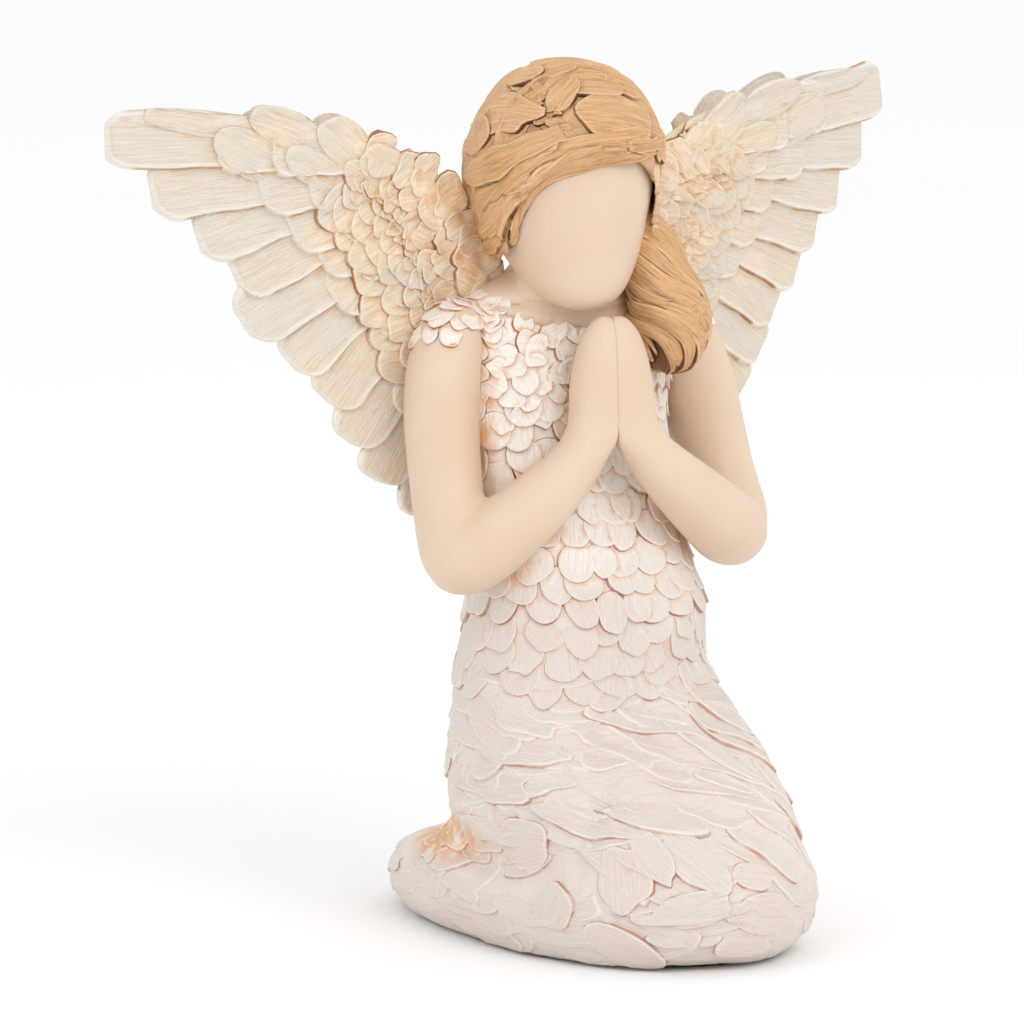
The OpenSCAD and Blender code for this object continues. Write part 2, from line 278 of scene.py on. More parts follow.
class Clay:
    """Chips collected for one piece or for a few in a row. Each point carries wash (0 face, 0.45 rim, 1 under
    the edge), dirt (0 to 1, close to a higher edge), tone (one random number for each chip), warm (0 rose,
    1 ochre) and grain (its place along and across the stroke of the knife)."""

    def __init__(self):
        self.co, self.faces = [], []
        self.wash, self.tone, self.grain = [], [], []
        self.chip, self.height, self.rim = [], [], []
        self.count = 0
        self.chips = 0
        self.starts = [(0, 0)]

    def add(self, co, faces, wash, tone, grain, height, rim=None):
        n = len(co)
        self.co.append(np.asarray(co, float))
        self.faces += [[self.count + i for i in f] for f in faces]
        self.wash.append(np.broadcast_to(wash, n).astype(float))
        self.tone.append(np.full(n, float(tone)))
        self.grain.append(np.asarray(grain, float))
        self.chip.append(np.full(n, self.chips))
        self.height.append(np.broadcast_to(height, n).astype(float))
        self.rim.append(np.zeros(n, bool) if rim is None else rim)
        self.count += n
        self.chips += 1

    def add_form(self, form, wash, sink):
        """A form as the ground that the chips are laid on, sunk a little under them."""
        co = form.co - form.normals * sink
        self.add(co, form.tris.tolist(), wash, 0.5, form.co * (0.3, 0.3, 1.0), -0.3)

    def next_piece(self):
        """Everything added from here on goes to a further piece."""
        self.starts.append((self.count, len(self.faces)))

    def build(self, names, warm, dirt_reach=1.1, stained=None):
        """One object for each name. warm and stained give values for points, dirt_reach is how far dirt
        spreads from a higher edge."""
        co = np.concatenate(self.co)
        co[:, 2] = np.maximum(co[:, 2], LOWEST)
        wash, tone = np.concatenate(self.wash), np.concatenate(self.tone)
        grain = np.concatenate(self.grain)
        chip, height = np.concatenate(self.chip), np.concatenate(self.height)
        rim = np.concatenate(self.rim)
        dirt = np.zeros(len(co))
        where = np.nonzero(rim)[0]
        if len(where):
            tree = KDTree(len(where))
            for k, i in enumerate(where):
                tree.insert(Vector(co[i]), k)
            tree.balance()
            for i in np.nonzero(wash < UNDER_EDGE)[0]:
                for _, k, gap in tree.find_n(Vector(co[i]), RIMS_NEAR):
                    j = where[k]
                    if gap > dirt_reach:
                        break
                    if chip[j] != chip[i] and height[j] > height[i] + STEP_UP:
                        dirt[i] = 1 - gap / dirt_reach
                        break
        if stained is not None:
            dirt = clamp(np.maximum(dirt, stained(co)))
        colour = np.stack([wash, dirt, tone, warm(co)], 1)
        ends = self.starts[1:] + [(self.count, len(self.faces))]
        made = []
        for name, (v0, f0), (v1, f1) in zip(names, self.starts, ends):
            mesh = bpy.data.meshes.new(name)
            faces = [[i - v0 for i in f] for f in self.faces[f0:f1]]
            mesh.from_pydata((co[v0:v1] * MM).tolist(), [], faces)
            mesh.polygons.foreach_set("use_smooth", [True] * len(mesh.polygons))
            paint = mesh.attributes.new("paint", "FLOAT_COLOR", "POINT")
            paint.data.foreach_set("color", colour[v0:v1].ravel())
            lay = mesh.attributes.new("grain", "FLOAT_VECTOR", "POINT")
            lay.data.foreach_set("vector", grain[v0:v1].ravel())
            mesh.update()
            made.append(add_object(name, mesh))
        return made


# Rings of a pat from its middle out: radius and wash; the last two go down its edge
RINGS = np.array([0.35, 0.66, 0.86, 0.95, 0.985, 1.0])
RING_WASH = np.array([0.0, 0.0, 0.1, 0.45, 1.0, 1.0])
RIM_RING = 3
# Shapes of pats: heights of the root and the tip, how pointed and how square the outline is, how ragged,
# height of the lip, depth of the dish and its share at the root, reach of the edge beyond the outline, and
# how deep the edge goes into the form
CHIP = dict(root=-0.3, tip=0.9, point=0.0, square=2.3, ragged=0.06, lip=0.12, dish=0.15, dish_from=0.3,
            edge=0.35, buried=0.35)
SCALE = dict(root=-0.4, tip=0.9, point=0.15, square=2.4, ragged=0.07, lip=0.14, dish=0.12, dish_from=1.0,
             edge=0.4, buried=0.8)


@functools.cache
def round_faces(segs):
    rings = len(RINGS)
    faces = []
    for j in range(segs):
        k = (j + 1) % segs
        faces.append((0, 1 + j, 1 + k))
        for r in range(rings - 1):
            a = 1 + r * segs
            faces.append((a + j, a + segs + j, a + segs + k, a + k))
        faces.append((1 + (rings - 1) * segs + k, 1 + (rings - 1) * segs + j, 1 + rings * segs))
    return faces


def shape_pat(length, width, segs, under, rng, root, tip, point, square, ragged, lip, dish, dish_from, edge,
              buried):
    """Plan (across, along) and height of each point of a pat: sunk at its root, proud at its tip, with a
    raised lip and a steep edge. The first point is its middle and the last one lies under it."""
    turn = 2 * math.pi * np.arange(segs) / segs
    c, s = np.cos(turn), np.sin(turn)
    outline = (np.abs(c) ** square + np.abs(s) ** square) ** (-1 / square)
    outline = outline * (1 + sum(
        rng.normal(0, ragged / k**0.6) * np.cos(k * turn + rng.uniform(0, 2 * math.pi))
        for k in (1, 2, 3, 5)))
    x, y = outline * s * width, outline * c * length
    x = x * (1 - point * clamp(y / length) ** 1.5)
    plan, grow = np.stack([x, y], 1), np.hypot(x, y)
    rings = [r * plan for r in RINGS[:-2]]
    rings += [plan * (RINGS[RIM_RING] + far * edge / np.maximum(grow, 0.5))[:, None] for far in (0.45, 1.0)]
    flat = np.concatenate([[[0, 0]], *rings, [[0, 0]]])

    share = clamp((flat[:, 1] / length + 1) / 2)
    r = np.concatenate([[0], np.repeat(RINGS, segs), [0]])
    height = root + (tip - root) * share ** 0.8 + lip * np.exp(-(((r - 0.9) / 0.09) ** 2)) * share
    height -= dish * (1 - r**2) * (dish_from + (1 - dish_from) * share)
    crest = height[rim_of(segs)]
    height[-1 - 2 * segs:-1 - segs] = crest - 0.3 * np.maximum(crest + buried, 0.1)
    height[-1 - segs:-1] = min(root, -buried)
    height[-1] = -under
    return flat, height


def rim_of(segs):
    """Where the points of a pat's rim stand among its points."""
    return slice(1 + RIM_RING * segs, 1 + (RIM_RING + 1) * segs)


def add_pat(clay, co, faces, flat, height, segs, stain, rng, strokes_across=False, base=0.0, proud=0.15):
    """Paint a pat and add it. base is the height of the surface that it lies on, and a rim higher than proud
    leaves dirt on what lies beside it."""
    wash = np.concatenate([[0], np.repeat(RING_WASH, segs), [1]]) * stain
    stroke = flat if strokes_across else flat[:, ::-1]
    grain = np.concatenate([stroke, np.full((len(flat), 1), rng.uniform(0, 500))], 1)
    rim = np.zeros(len(co), bool)
    rim[rim_of(segs)] = height[rim_of(segs)] > proud
    clay.add(co, faces, wash, rng.uniform(0, 1), grain, height + base, rim)


def lay_chip(clay, form, place, normal, down, length, width, rng, segs=20, strokes_across=False, bow=0.0,
             stain=1.0, **shape):
    """One pat laid on a form, its tip towards down. length and width are half sizes along and across that
    direction; stain is how dark its edge is painted."""
    under = max(0.7, 0.34 * max(length, width))
    flat, height = shape_pat(length, width, segs, under, rng, **{**CHIP, **shape})
    flat[:, 0] += bow * (flat[:, 1] / length) ** 2
    ahead = unit(down - normal * np.dot(down, normal))
    across = np.cross(ahead, normal)
    foot, lean = form.nearest(place + flat[:, :1] * across + flat[:, 1:] * ahead + normal * 0.5)
    co = foot + lean * height[:, None]
    add_pat(clay, co, round_faces(segs), flat, height, segs, stain, rng, strokes_across)


# Columns of a lens over its width, with the wash and the share of its height at each
SPAN = np.array([-1.0, -0.96, -0.92, -0.84, -0.66, -0.4, -0.1, 0.2, 0.45, 0.7, 0.9, 1.0])
SPAN_WASH = np.array([1.0, 1.0, 0.74, 0.4, 0.05, 0, 0, 0, 0, 0.08, 0.45, 1.0])
SPAN_HEIGHT = np.array([0, 0.72, 1, 1, 1, 1, 1, 1, 1, 1, 1, 0])


@functools.cache
def strip_faces(rows, cols):
    """Top and bottom skins of a lens that share their border points."""
    top = np.arange(rows * cols).reshape(rows, cols)
    inner = np.arange((rows - 2) * (cols - 2)).reshape(rows - 2, cols - 2) + rows * cols
    bottom = top.copy()
    bottom[1:-1, 1:-1] = inner
    faces = []
    for i in range(rows - 1):
        for j in range(cols - 1):
            faces.append((top[i, j], top[i, j + 1], top[i + 1, j + 1], top[i + 1, j]))
            faces.append((bottom[i, j], bottom[i + 1, j], bottom[i + 1, j + 1], bottom[i, j + 1]))
    return [tuple(int(v) for v in f) for f in faces]


def bulge(low):
    """Height over the width of a strand, from low at its sides to 1 in the middle."""
    return (low + (1 - low) * np.sqrt(clamp(1 - SPAN**2))) * SPAN_HEIGHT


def skins(grid):
    """Rows for the points of a lens, from a grid: its whole top, then the inside of its bottom."""
    inside = grid[1:-1, 1:-1]
    return np.concatenate([part.reshape(part.shape[0] * part.shape[1], -1) for part in (grid, inside)])


def add_lens(clay, upper, lower, wash, run, across, height, rim, rng, outward=True):
    """Add a lens between two grids of points, painted by grids of its own."""
    rows, cols = upper.shape[:2]
    grain = np.stack(np.broadcast_arrays(run[:, None], across, rng.uniform(0, 500)), 2)
    co = np.concatenate([upper.reshape(-1, 3), lower[1:-1, 1:-1].reshape(-1, 3)])
    faces = facing(strip_faces(rows, cols), outward)
    wash, height, rim = (skins(grid)[:, 0] for grid in (wash, height, rim))
    clay.add(co, faces, wash, rng.uniform(0, 1), skins(grain), height, rim)


def lay_strip(clay, centre, side, normal, half, top, rng, deep=0.8):
    """A long lens of clay along centre: half is its half width at each row, top its height at each row and
    column, deep how far its underside goes into the form."""
    across = half[:, None] * SPAN
    flat = centre[:, None] + side[:, None] * across[..., None]
    run = np.concatenate([[0], np.cumsum(np.linalg.norm(np.diff(centre, axis=0), axis=1))])
    wash = np.broadcast_to(SPAN_WASH, top.shape).copy()
    wash[-2] = np.maximum(wash[-2], 0.3)
    wash[-1] = 1
    rim = np.zeros(top.shape, bool)
    rim[1:-1, 1] = rim[1:-1, -2] = True
    rim[-2] = True
    upper, lower = flat + normal[:, None] * top[..., None], flat - deep * normal[:, None]
    add_lens(clay, upper, lower, wash, run, across, top, rim, rng)


# ---------------------------------------------------------------- dress

def dress_place(form, azimuth, z):
    """Outer point of the dress at a height, at an angle round its middle: 0 front, 90 the figure's left."""
    middle = np.array([np.interp(z, DRESS_MIDDLE[:, 0], DRESS_MIDDLE[:, k]) for k in (1, 2)] + [z])
    a = math.radians(azimuth)
    return form.outermost(middle, np.array([math.sin(a), -math.cos(a), 0.0]))


def near_feet(co, middle, reach):
    """1 on top of the feet, less with distance in each direction."""
    spot = np.stack([np.abs(co[:, 0]), co[:, 1], co[:, 2]], 1)
    return np.exp(-(((spot - middle) / reach) ** 2).sum(1))


def dress_warmth(co):
    """Rose below and ochre above, with ochre feet."""
    feet = near_feet(co, (0, 18, 18.5), (np.inf, 16, 4)) * (np.abs(co[:, 0]) > 12)
    return clamp(np.maximum((co[:, 2] - 48) / 26 + 0.1 * wobble(co, 18, 5), 1.6 * feet))


def dress_stain(arms):
    """Wash left where the arms touch the dress and on top of the feet."""
    def stain(co):
        out = 2.6 * near_feet(co, (24, 16, 19), (10, 17, 4.5))
        near = np.nonzero((co[:, 2] > 62) & (co[:, 2] < 112))[0]
        gap = arms.distance(co[near])
        out[near] = np.maximum(out[near], 1.3 * clamp(1 - gap / 4.0))
        return out * (0.75 + 0.35 * wobble(co, 6, 9))
    return stain


def around(form, z):
    """Distance round the dress at a height."""
    ring = [dress_place(form, a, z) for a in range(0, 360, 10)]
    points = np.array([p[0] for p in ring if p is not None])
    return np.linalg.norm(np.roll(points, -1, 0) - points, axis=1).sum()


# Creases of the skirt, on the figure's right: between the thigh and the lower leg, and down the thigh's side
LEG_CREASE = [(-14, 31, 20.5), (-23, 25, 20.5), (-28.5, 14, 20), (-30, 5, 18), (-29, -8, 15.8),
              (-27, -18, 16), (-23, -27, 17.4)]
SIDE_CREASE = [(-14, -16, 42), (-16, -24, 36), (-19, -28, 29), (-22, -29, 20)]
# Crease between the knees
LAP_CREASE = [(-1, -13, 47), (-4, -24, 38), (-3.5, -33, 31), (1, -41, 24)]


def both_sides(points, depth, width):
    """A crease and its mirror image: points along it, depth and half width."""
    return [(points, depth, width), ([(-x, y, z) for x, y, z in points], depth, width)]


LEG_CREASES = both_sides(LEG_CREASE, 2.3, 3.4)
CREASES = LEG_CREASES + both_sides(SIDE_CREASE, 1.5, 3.0) + [(LAP_CREASE, 1.4, 4.0)]
# Strokes stay out of the leg creases where they are deeper than this
OPEN_CREASE = 1.3
# Single pats pressed on the skirt: place, half length, half width, turn of the length in degrees from
# level (anticlockwise seen from outside), how pointed its end is (below 0 it broadens)
PATS = [
    ((-10, -46, 20), 8.5, 4.6, -48, 0.5), ((-17, -42, 22), 6.5, 3.4, -50, 0.45),
    ((-20, -38, 17), 6.5, 5.4, -75, -0.1), ((-12, -48, 12.5), 8.5, 3.4, 10, -0.2),
    ((1, -50, 11), 6.0, 4.4, -5, -0.1), ((0, -49, 17.5), 4.0, 2.7, -20, -0.1),
    ((-21, -37, 5.5), 8.5, 4.4, -25, -0.1), ((-28, -25, 11), 5.0, 4.6, 60, -0.1),
    ((-27, -15, 21.5), 8.0, 4.6, 0, -0.1),
]


def crease_depth(co, creases=CREASES):
    """How far each point is pressed in."""
    total = np.zeros(len(co))
    for points, depth, width in creases:
        fine = smooth_rows(points, 8)
        gap = np.sqrt(((co[:, None] - fine[None]) ** 2).sum(2)).min(1)
        total += depth * np.exp(-((gap / width) ** 2))
    return total


def neckline(x, y):
    """Height where the dress ends and bare skin begins."""
    return np.where(np.asarray(y) < 15, 113.8, 117.5) + 4.0 * clamp(np.abs(x) / 20) ** 1.5


def yoke_drop(above):
    """How far the casting is let down under the bare shoulders, for a height above the neckline."""
    return 1.3 * clamp((above - 0.5) / 1.5)


# The figure's left hip is slimmed: the way it faces, its height and how far it is pressed in
HIP_WAY = np.array([0.84, -0.54, 0])
HIP_HEIGHT = 51
HIP_DEPTH = 2.3


def press_dress(form):
    """The dress with gentle swells, its creases pressed in, a lower yoke and a slimmer hip."""
    relief = 0.35 * wobble(form.co, 16, 3) - crease_depth(form.co)
    relief -= yoke_drop(form.co[:, 2] - neckline(form.co[:, 0], form.co[:, 1]))
    hip = clamp((unit(form.normals * (1, 1, 0)) @ HIP_WAY - 0.55) / 0.4)
    relief -= HIP_DEPTH * hip * np.exp(-(((form.co[:, 2] - HIP_HEIGHT) / 6.5) ** 2))
    return Form(form.co + form.normals * relief[:, None], form.tris)


# The way the cloth is pulled over the lap
DRAPE = np.array([0.80, -0.47, -0.36])


def lay_strokes(clay, form, rng):
    """Skirt: broad, low strokes of the knife that follow the pull of the cloth over the lap."""
    for k, z in enumerate(np.arange(3.0, 50.0, 3.6)):
        count = int(around(form, z) / 9.0)
        for i in range(count):
            azimuth = 360 * (i + 0.5 * (k % 2) + rng.normal(0, 0.3)) / count
            found = dress_place(form, azimuth, z + rng.normal(0, 1.4))
            if found is None:
                continue
            place, normal = found
            if crease_depth(place[None], LEG_CREASES)[0] > OPEN_CREASE:
                continue
            level, _ = level_and_rise(normal)
            lap = clamp((normal[2] - 0.2) / 0.3) * (1 if place[1] < 12 else 0)
            way = level * (1 - lap) * np.sign(np.dot(level, DRAPE) or 1) + DRAPE * lap
            stroke = unit(way + rng.normal(0, 0.2, 3))
            down = np.cross(stroke, normal)
            if down[2] > 0 or (lap > 0.5 and down[1] > 0):
                down = -down
            proud = rng.uniform(0, 1) ** 2
            lay_chip(clay, form, place, normal, down, rng.uniform(2.0, 4.8), rng.uniform(4.5, 13), rng,
                     segs=28, root=-0.5, tip=0.06 + 0.5 * proud, ragged=0.24, edge=1.0,
                     lip=0.12 + 0.1 * proud, dish=0.05, strokes_across=True, bow=rng.normal(0, 1.5),
                     stain=0.5 + 0.4 * proud)


# No strap is laid below this height
STRAP_FLOOR = 113.0


def make_dress(form, body, arms):
    rng = np.random.default_rng(11)
    clay = Clay()
    clay.add_form(form, wash=0.1, sink=0.12)

    def lay_row(z, wide, tall, jitter, spin, offset, spread=1.8, **looks):
        """A row of petals round the dress: half sizes, how far each strays and turns, offset and spacing."""
        count = max(6, int(round(around(form, z) / (wide * spread))))
        for i in range(count):
            azimuth = 360 * (i + offset + rng.normal(0, jitter)) / count
            found = dress_place(form, azimuth, z + rng.normal(0, 0.8))
            if found is None:
                continue
            place, normal = found
            if place[2] > neckline(place[0], place[1]):
                continue
            lay_chip(clay, form, place, normal, -UP + rng.normal(0, spin, 3), tall * rng.uniform(0.84, 1.16),
                     wide * rng.uniform(0.82, 1.18), rng, **looks)

    lay_strokes(clay, form, rng)
    for (x, y, z), length, width, turn, point in PATS:
        place, normal = (v[0] for v in form.nearest(np.array([[x, y, z]], float)))
        lay_chip(clay, form, place, normal, turned(normal, turn), length, width, rng, segs=28, root=0.1,
                 tip=0.7, point=point, ragged=0.09, square=2.2, edge=0.6, lip=0.16, dish=0.1, stain=0.9)
    # Hips: petals melt into the strokes
    for k, z in enumerate((50.0, 54.5, 59.0)):
        lay_row(z, 4.0, 4.2, 0.2, 0.4, 0.5 * (k % 2), tip=0.45, point=0.1, segs=24, ragged=0.12, stain=0.8)
    # Torso: round, rather flat petals in rough rows
    clay.next_piece()
    for k, z in enumerate(np.arange(63.0, 100.0, 4.6)):
        lay_row(z, 3.6, 3.8, 0.16, 0.4, 0.5 * (k % 2), tip=0.75, root=0.1, point=0.06, ragged=0.07,
                square=2.15)
    # Chest: smaller broken chips
    for k, z in enumerate(np.arange(99.0, 119.0, 2.7)):
        lay_row(z, 2.3, 2.5, 0.3, 1.2, 0.5 * (k % 2), spread=1.6, tip=0.85, root=-0.1, point=0.15,
                ragged=0.17)
    # Straps: chips carried over the top of each shoulder
    for side in (-1, 1):
        for x in np.arange(17.0, 30.5, 2.6):
            for y in np.arange(6.5, 24, 2.9):
                spot = Vector((side * x + rng.normal(0, 0.5), y + rng.normal(0, 0.5), 140))
                hit = body.tree.ray_cast(spot, Vector((0, 0, -1)))
                if hit[0] is None or hit[0].z < STRAP_FLOOR:
                    continue
                place, normal = body.at(hit)
                down = np.array([side * 0.8, 0.2 * (y - 15), -0.6]) + rng.normal(0, 0.4, 3)
                lay_chip(clay, body, place, normal, down, rng.uniform(2.2, 3.2), rng.uniform(2.0, 2.8), rng,
                         tip=rng.uniform(0.5, 0.9), ragged=0.13, point=0.2)
    names = ["skirt_clay", "bodice_petals"]
    return clay.build(names, dress_warmth, dirt_reach=1.25, stained=dress_stain(arms))


# ---------------------------------------------------------------- skin

def bare_shoulders(clay, form):
    """A thin shell of skin over the dress form wherever it rises above the neckline."""
    above = form.co[:, 2] - neckline(form.co[:, 0], form.co[:, 1])
    keep = (above > -0.9) & (np.abs(form.co[:, 0]) < 18.5)
    used, tris = np.unique(form.tris[keep[form.tris].all(1)], return_inverse=True)
    tris = tris.reshape(-1, 3)
    n = len(used)
    above, base, normals = above[used], form.co[used], form.normals[used]
    out = 0.1 + 0.9 * clamp((above + 0.9) / 1.4) + yoke_drop(above)
    co = np.concatenate([base + normals * out[:, None], base - normals])
    faces = tris.tolist() + (tris[:, ::-1] + n).tolist()
    sides = {(a, b) for f in tris.tolist() for a, b in ((f[0], f[1]), (f[1], f[2]), (f[2], f[0]))}
    faces += [(b, a, a + n, b + n) for a, b in sorted(sides) if (b, a) not in sides]
    clay.add(co, faces, 0.0, 0.5, co, 0.0)


def skin_piece(name, form, near, shoulders=None):
    """A smooth casting; the wash gathers where it meets the clay of the dress."""
    clay = Clay()
    clay.add(form.co, form.tris.tolist(), 0.0, 0.5, form.co, 0.0)
    if shoulders is not None:
        bare_shoulders(clay, shoulders)

    def edge(co):
        bare = co[:, 2] > neckline(co[:, 0], co[:, 1]) + 1.0
        return clamp(1 - near.distance(co) / 2.2) * np.where(bare & (np.abs(co[:, 0]) < 17), 0.25, 1)
    return clay.build([name], edge)


# The upright plane between the palms and its turn, as in the CAD
PALM_AT = (-2.0, -6.0)
PALM_TURN = math.radians(18)
# Each hand: height, distance of its middle from that plane, depth of its middle along the plane, radius
HAND = np.array([[88, 8, -2.2, 5.6], [91, 6.8, -1.8, 4.9], [97, 4, -0.7, 4.7], [103, 3.2, 0.1, 5],
                 [109, 2.6, 0.2, 4.5], [114, 1.7, 0.3, 3.4], [117, 1, 0.3, 1.6], [119, 0.8, 0.3, 0.8]])


def press_palms(form):
    """Palms pressed flat together, so only a shallow line parts the hands from in front."""
    co = form.co.copy()
    c, s = math.cos(PALM_TURN), math.sin(PALM_TURN)
    x, y = co[:, 0] - PALM_AT[0], co[:, 1] - PALM_AT[1]
    away, deep = x * c - y * s, x * s + y * c
    reach, middle, radius = (np.interp(co[:, 2], HAND[:, 0], HAND[:, k]) for k in (1, 2, 3))
    share = clamp((co[:, 2] - 90) / 6) * clamp((middle + 0.6 - deep) / 1.2)
    share *= 0.97 - 0.05 * np.exp(-((away / 0.6) ** 2))
    inside = clamp((reach - np.abs(away)) / 0.8)
    front = middle - radius + 0.1 * (reach - np.abs(away))
    move = share * inside * np.minimum(front - deep, 0)
    close = -away * clamp(1.3 - np.abs(away) / 1.2) * clamp((co[:, 2] - 92) / 5)
    co[:, 0] += move * s + close * c
    co[:, 1] += move * c - close * s
    return Form(co, form.tris)


# ---------------------------------------------------------------- hair

def hair_place(form, out, roll):
    """Outer point of the hair: out is the angle from the way the face looks, roll the angle round it."""
    a, b = math.radians(out), math.radians(roll)
    right = np.cross(FACING, UP)
    direction = math.cos(a) * FACING + math.sin(a) * (math.cos(b) * UP + math.sin(b) * right)
    return form.outermost(HEAD_AT, direction)


# Slabs of hair that show their whole outline: angle round the head from the front (to the figure's left
# positive), height, half length, half width, turn of the length in degrees from level
HAIR_SLABS = [
    (22, 158, 6.5, 3.4, -35), (-10, 158.3, 8.0, 3.8, -6), (-84, 159, 4.0, 2.8, 10),
    (-46, 160.5, 3.8, 2.8, 40), (-34, 156.5, 4.4, 2.6, 55), (26, 151, 6.0, 2.8, -20),
    (2, 152.8, 9.2, 5.4, -16), (-80, 152.8, 8.2, 4.5, 4), (-108, 150, 7, 4, 0), (-56, 148.6, 7.0, 2.6, 14),
]
# Broken bits in the parting between the slabs
PARTING = [(-64, 158.5), (-58, 157), (-51, 156.2), (-47, 154.5), (-42, 153.6), (-39, 152), (-36, 150.8),
           (-44, 151.4), (-31, 150.2), (-50, 152.6), (-54, 155)]
# Long strands swept round the temples: for each, angle and height of its points, half width and thickness
SWEEPS = [
    ([(-34, 151), (-52, 149), (-72, 145.8), (-92, 143.4), (-114, 142)], 3.0, 1.5),
    ([(-52, 144.6), (-68, 141.4), (-88, 138.6), (-110, 137.2)], 2.2, 0.8),
    ([(34, 149.6), (12, 150), (-12, 149.6), (-38, 147.8), (-60, 143.4), (-78, 138.8), (-96, 135.8)],
     2.2, 0.9),
    ([(-66, 139), (-82, 134.5), (-100, 132)], 2.4, 1.5),
    ([(-76, 133), (-90, 130), (-106, 128.8)], 1.8, 0.8),
    ([(4, 147.6), (-14, 147.4), (-38, 145.8), (-56, 141.8), (-69, 136.8), (-79, 131)], 1.7, 1.4),
    ([(32, 147.2), (12, 146.9), (-10, 146.3), (-36, 144.4), (-54, 140.4), (-65, 135.6), (-74, 130)],
     1.4, 0.8),
    ([(-12, 148.4), (-30, 147.4), (-48, 144.2), (-64, 139.8)], 0.9, 1.9),
    ([(34, 148.4), (18, 148.3), (2, 148.4)], 1.5, 1.5),
    ([(58, 150), (78, 145), (90, 138), (94, 130)], 2.4, 1.2),
]


def round_head(form, angle, z):
    a = math.radians(angle)
    middle = np.array([HEAD_AT[0], HEAD_AT[1], min(z, 150.0)])
    rise = max(z - 150.0, 0) / 12
    direction = np.array([math.sin(a), -math.cos(a), 0]) * math.sqrt(max(1 - rise**2, 0.02)) + UP * rise
    return form.outermost(middle, direction)


def lay_sweep(clay, form, stops, half_w, tall, rng):
    """A long strand of clay that hugs a form through the given angles and heights."""
    rows = smooth_rows(stops, 6)
    found = [round_head(form, a, z) for a, z in rows]
    if any(f is None for f in found):
        return
    centre = np.array([f[0] for f in found])
    normal = unit(np.array([f[1] for f in found]))
    ahead = unit(np.gradient(centre, axis=0))
    t = np.linspace(0, 1, len(rows))
    half = half_w * (0.25 + 0.75 * np.sin(math.pi * clamp(t * 0.94 + 0.03)) ** 0.5)
    half = half * (1 + 0.16 * np.sin(9 * t + rng.uniform(0, 6)) + 0.1 * np.sin(23 * t + rng.uniform(0, 6)))
    side = np.cross(ahead, normal)
    top = tall * bulge(0.45) * clamp(np.minimum(t / 0.06, (1 - t) / 0.06))[:, None]
    top = top + 0.12 * np.sin(SPAN * 8 + 4 * t[:, None]) * SPAN_HEIGHT
    lay_strip(clay, centre, side, normal, half, top, rng, deep=0.9)


# Radius of the hair and the distance between the slabs of one ring
HAIR_RADIUS = 17
HAIR_PITCH = 9.5


def make_hair(form, head):
    rng = np.random.default_rng(23)
    clay = Clay()
    # Beside the far cheek the shell lies lower, under its strand
    band = (form.co[:, 0] > 8) & (form.co[:, 1] < 9) & (form.co[:, 2] < 147)
    clay.add_form(form, wash=np.where(band, 0.5, 0.64), sink=np.where(band, 0.8, 0.15)[:, None])
    for k, out in enumerate((176, 161, 146, 131, 117, 104, 92, 81, 71, 62)):
        count = max(3, int(round(2 * math.pi * HAIR_RADIUS * math.sin(math.radians(out)) / HAIR_PITCH)))
        for i in range(count):
            roll = 360 * (i + 0.5 * (k % 2) + rng.normal(0, 0.12)) / count
            found = hair_place(form, out + rng.normal(0, 2.5), roll)
            if found is None:
                continue
            place, normal = found
            spot = place - HEAD_AT
            strand_side = spot[0] > 8 and spot[1] < 0 and spot[2] < 9
            if strand_side or np.linalg.norm(spot) < 15 or place[2] < NAPE + 2:
                continue
            sweep = unit(np.cross(FACING, normal))
            back = np.array([1.0, 0.15, -0.25])
            share = clamp((np.dot(unit(spot), -FACING) - 0.1) / 0.5)
            if np.dot(sweep, back) < 0:
                sweep = -sweep
            stroke = unit(sweep * (1 - share) + back * share + rng.normal(0, 0.15, 3))
            down = np.cross(stroke, normal)
            if np.dot(down, FACING) > 0:
                down = -down
            lay_chip(clay, form, place, normal, down, rng.uniform(2.6, 4.0), rng.uniform(5.0, 9.0), rng,
                     root=-0.25, tip=rng.uniform(0.45, 1.1), ragged=0.15, square=2.4, edge=0.5, lip=0.24,
                     segs=24, strokes_across=True, bow=rng.normal(0, 1.0))
    for angle, z, length, width, turn in HAIR_SLABS:
        found = round_head(head, angle, z)
        if found is None:
            continue
        place, normal = found
        lay_chip(clay, head, place, normal, turned(normal, turn), length, width, rng, segs=28,
                 root=0.5, ragged=0.1, square=2.25, edge=0.6, lip=0.22, dish=0.1)
    for stops, half_w, tall in SWEEPS:
        lay_sweep(clay, head, stops, half_w, tall, rng)
    for angle, z in PARTING:
        place, normal = round_head(head, angle, z)
        lay_chip(clay, head, place, normal, rng.normal(0, 1, 3), rng.uniform(1.2, 2.2),
                 rng.uniform(0.8, 1.5), rng, root=rng.uniform(-0.2, 0.3), tip=rng.uniform(0.5, 1.1),
                 ragged=0.28, edge=0.3)
    return clay.build(["hair_clay"], lambda co: clamp(0.5 + 0.5 * wobble(co, 14, 8)))


# Gathered hair: locks in each layer, and how far they swirl round its middle, in radians
LOCKS = 8
SWIRL = 5.6


